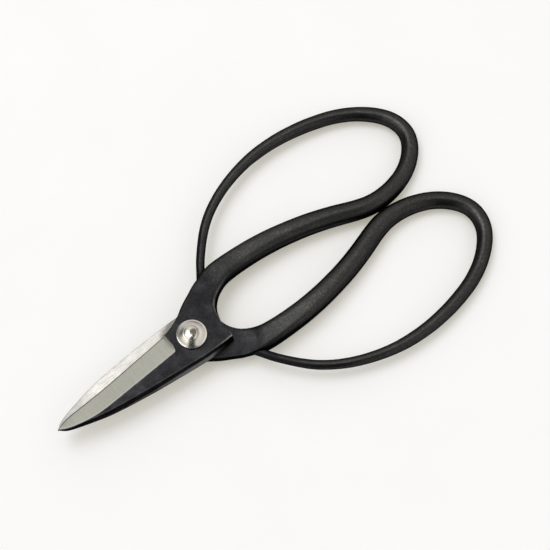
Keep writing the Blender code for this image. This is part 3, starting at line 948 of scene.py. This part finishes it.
def ground_inner_face(name):
    """The inner face, ground flat along the blade.

    It carries a painted reflection that darkens it towards the tip and a painted shade in a ragged
    ring round the pivot, and keeps the black skin behind the ring.
    """
    material, tree, shader, space, mottle, base, roughness = ground_steel(
        name, FACE_TINT, 0.34, (0.12, 1.0, 1.0), (0.0, 0.0, 0.25))
    # painted shade along the face's edge at the spine
    foot = remap(tree, stored(tree, "from_foot"), 0.15, 0.4, 0.5, 0.0)
    base = mix(tree, foot, base, FOOT_SHADE)
    x = along_x(tree, space)
    # painted reflection: darker towards the tip
    base = mix(tree, remap(tree, x, -58.0, -34.0, 0.55, 0.0), base, TIP_DARK_REFLECTION)
    distance = vector_maths(tree, "LENGTH", vector_maths(tree, "MULTIPLY", space, IN_PLAN))
    ragged = plus(tree, distance, times(tree, mottle["Patches"], 1.2))
    # painted shade in a ragged ring round the pivot
    base = mix(tree, remap(tree, ragged, 10.6, 13.8, 0.85, 0.0), base, PIVOT_SHADE)
    skin_on = times(tree, remap(tree, ragged, BARE_RADIUS - 0.2, BARE_RADIUS + 0.6),
                    remap(tree, x, -4.0, -3.0))
    base = mix(tree, skin_on, base, (*finish_colours().black, 1.0))
    colour_and_gloss(tree, shader, base, plus(tree, roughness, times(tree, skin_on, 0.08)))
    return material


def bright_nickel_plate(name):
    """Nickel plate over turned steel: rings from the lathe, and a painted dark reflection, with
    rougher metal, round the rivet's proud middle.
    """
    material, tree, shader, place = new_material(name)
    space = scaled(tree, place)
    flat = vector_maths(tree, "MULTIPLY", space, IN_PLAN)
    radius = vector_maths(tree, "LENGTH", flat)
    from_nub = vector_maths(tree, "DISTANCE", flat, (*NUB_DRIFT, 0.0))
    mottle = mottled(tree, space, 0.4, 3.0)
    rings = node(tree, "ShaderNodeTexNoise", {"W": times(tree, radius, 9.0), "Detail": 4.0,
                 "Roughness": 0.7, "Scale": 1.0}, noise_dimensions="1D").outputs[0]
    low, high = shades(finish_colours().nickel, 0.82, 1.05)
    tone = plus(tree, times(tree, remap(tree, rings, 0.3, 0.7), 0.6),
                times(tree, mottle["Patches"], 0.4))
    # painted dark reflection round the rivet's proud middle
    nub_reflection = plus(tree, from_nub, times(tree, mottle["Grit"], 0.5))
    nub_reflection = remap(tree, nub_reflection, 1.0, 1.9, 0.93, 0.0)
    base = mix(tree, nub_reflection, mix(tree, tone, low, high), NUB_DARK_REFLECTION)
    rough = plus(tree, remap(tree, tone, 0.0, 1.0, 0.28, 0.17), times(tree, nub_reflection, 0.3))
    colour_and_gloss(tree, shader, base, rough)
    bump(tree, shader, plus(tree, rings, times(tree, mottle["Grit"], 0.12)), 0.012)
    return material


def pale_table(name):
    """Plain pale table with the faintest grain, which gives back some light of its own."""
    material, tree, shader, place = new_material(name, metallic=0.0)
    grain = mottled(tree, scaled(tree, place), 0.02, 1.0)
    low, high = shades(finish_colours().table, 0.99, 1.01)
    colour_and_gloss(tree, shader, mix(tree, grain["Patches"], low, high),
                     remap(tree, grain["Grit"], 0.0, 1.0, 0.85, 0.95))
    shader.inputs["Specular IOR Level"].default_value = 0.2
    shader.inputs["Emission Color"].default_value = (*finish_colours().table_glow, 1.0)
    seen = tree.nodes.new("ShaderNodeLightPath").outputs["Is Camera Ray"]
    tree.links.new(remap(tree, seen, 0.0, 1.0, 0.1, 1.0), shader.inputs["Emission Strength"])
    return material


# ---- the scene ----

def new_object(name, mesh):
    """Put a mesh in the scene, its object at the origin."""
    made = bpy.data.objects.new(name, mesh)
    bpy.context.scene.collection.objects.link(made)
    return made


def dress(name, mesh, body, cad_node):
    """Put a finished piece in the scene in place of its plain solid, riding on its body."""
    piece = new_object(name, mesh)
    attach(piece, body)
    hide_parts(cad_node)


def turned_mesh(name, grid, joined):
    """Mesh of a turned piece in bright nickel, smooth but for its real corners."""
    mesh = skin(name, grid, joined)
    mesh.materials.append(once(bpy.data.materials, bright_nickel_plate))
    mesh.shade_smooth()
    mesh.set_sharp_from_angle(angle=math.radians(40.0))
    return mesh


def aim(obj, place, target):
    """Stand an object somewhere and point its -Z at a target."""
    obj.location = place
    obj.rotation_euler = (target - place).to_track_quat("-Z", "Y").to_euler()


def soft_light(name, place, target, size, power, colour):
    """A square soft light."""
    data = bpy.data.lights.new(name, "AREA")
    data.shape = "SQUARE"
    data.size = size
    data.energy = power
    data.color = colour
    aim(new_object(name, data), place, target)


def studio_surround():
    """A soft dome of light, bright overhead, with the room's patches and the dark camera stand."""
    world = bpy.data.worlds.new("studio")
    world.use_nodes = True
    tree = world.node_tree
    facing = tree.nodes.new("ShaderNodeTexCoord").outputs["Generated"]
    split = node(tree, "ShaderNodeSeparateXYZ", {0: facing}).outputs
    up = remap(tree, split["Z"], 0.1, 0.9)
    level = remap(tree, up, 0.0, 1.0, 0.62, 0.86)
    for toward, inner, outer, left_over in ROOM_PATCHES:
        facing_it = vector_maths(tree, "DOT_PRODUCT", facing, toward)
        level = times(tree, level, remap(tree, facing_it, outer, inner, 1.0, left_over))
    sideways = maths(tree, "ABSOLUTE", vector_maths(tree, "DOT_PRODUCT", facing, RIGHT))
    onward = vector_maths(tree, "DOT_PRODUCT", facing, AWAY)
    stand = times(tree, remap(tree, sideways, 0.16, 0.46, 1.0, 0.0),
                  remap(tree, onward, -0.12, 0.08, 1.0, 0.0))
    level = times(tree, level, remap(tree, stand, 0.0, 1.0, 1.0, 0.04))
    surround = tree.nodes["Background"]
    surround.inputs["Color"].default_value = (1.0, 0.995, 0.98, 1.0)
    tree.links.new(level, surround.inputs["Strength"])
    return world


class SNIPS_OT_halves(bpy.types.Operator):
    """Build the two forged halves with their ground blades"""

    bl_idname = "snips.halves"
    bl_label = "Forged Halves"

    def execute(self, context):
        shape = context.scene.snips_shape
        grid, marks, finish = half_grid(shape)
        for name, body, turned_over in (("upper_half", "upper", False),
                                        ("lower_half", "lower", True)):
            mesh = half_mesh(name + "_forged", grid, marks, finish, turned_over, shape)
            dress(name + "_forged", mesh, body, name)
        return {"FINISHED"}


class SNIPS_OT_washers(bpy.types.Operator):
    """Build the domed washer on each side of the pivot"""

    bl_idname = "snips.washers"
    bl_label = "Domed Washers"

    def execute(self, context):
        for name, flip in (("upper_washer", False), ("lower_washer", True)):
            mesh = turned_mesh(name + "_turned", washer_grid(flip), True)
            dress(name + "_turned", mesh, "lower", name)
        return {"FINISHED"}


class SNIPS_OT_rivet(bpy.types.Operator):
    """Build the rivet with its peened heads"""

    bl_idname = "snips.rivet"
    bl_label = "Pivot Rivet"

    def execute(self, context):
        mesh = turned_mesh("pivot_rivet_peened", rivet_grid(), False)
        dress("pivot_rivet_peened", mesh, "lower", "pivot_rivet")
        return {"FINISHED"}


class SNIPS_OT_stage(bpy.types.Operator):
    """Lay the snips on a pale table, light them softly and aim the camera"""

    bl_idname = "snips.stage"
    bl_label = "Table, Light and Camera"

    def execute(self, context):
        scene = context.scene
        tilt = (PIVOT.z - REST_DROP) / REST_X
        rise = TABLE_HALF * tilt
        sink = -TABLE_SINK * MM
        table = bpy.data.meshes.new("table")
        table.from_pydata([(-TABLE_HALF, -TABLE_HALF, sink - rise),
                           (TABLE_HALF, -TABLE_HALF, sink + rise),
                           (TABLE_HALF, TABLE_HALF, sink + rise),
                           (-TABLE_HALF, TABLE_HALF, sink - rise)], [], [(0, 1, 2, 3)])
        table.materials.append(once(bpy.data.materials, pale_table))
        new_object("table", table)

        target = Vector((*VIEW_TARGET, PIVOT.z)) * MM
        back = UP * math.sin(VIEW_HEIGHT) - AWAY * math.cos(VIEW_HEIGHT)
        data = bpy.data.cameras.new("camera")
        data.sensor_width = 36.0
        data.lens = VIEW_LENS
        camera = new_object("camera", data)
        aim(camera, target + back * VIEW_DISTANCE * MM, target)
        scene.camera = camera

        lamp_place = target + KEY_SIDE * KEY_OUT + UP * KEY_UP
        soft_light("key", lamp_place, target, KEY_SIZE, KEY_POWER, (0.98, 0.99, 1.0))
        scene.world = studio_surround()
        scene.view_settings.view_transform = "Standard"
        return {"FINISHED"}


OPERATORS = (SNIPS_OT_halves, SNIPS_OT_washers, SNIPS_OT_rivet, SNIPS_OT_stage)


class SNIPS_PT_panel(bpy.types.Panel):
    """Everything that builds the snips"""

    bl_label = "Floral Snips"
    bl_idname = "SNIPS_PT_panel"
    bl_space_type = "VIEW_3D"
    bl_region_type = "UI"
    bl_category = "Snips"

    def draw(self, context):
        for settings in (context.scene.snips_shape, context.scene.snips_finish):
            box = self.layout.box()
            for key in settings.__annotations__:
                box.prop(settings, key)
        for operator in OPERATORS:
            self.layout.operator(operator.bl_idname)


CLASSES = (SnipsShape, SnipsFinish, *OPERATORS, SNIPS_PT_panel)


def register():
    """Register the classes and hang the settings on the scene."""
    for each in CLASSES:
        bpy.utils.register_class(each)
    bpy.types.Scene.snips_shape = PointerProperty(type=SnipsShape)
    bpy.types.Scene.snips_finish = PointerProperty(type=SnipsFinish)


def unregister():
    """Take the settings and the classes away again."""
    del bpy.types.Scene.snips_finish
    del bpy.types.Scene.snips_shape
    for each in reversed(CLASSES):
        bpy.utils.unregister_class(each)


def main():
    """Build every piece and the stage."""
    register()
    for operator in OPERATORS:
        family, action = operator.bl_idname.split(".")
        getattr(getattr(bpy.ops, family), action)()


if __name__ == "__main__":
    main()
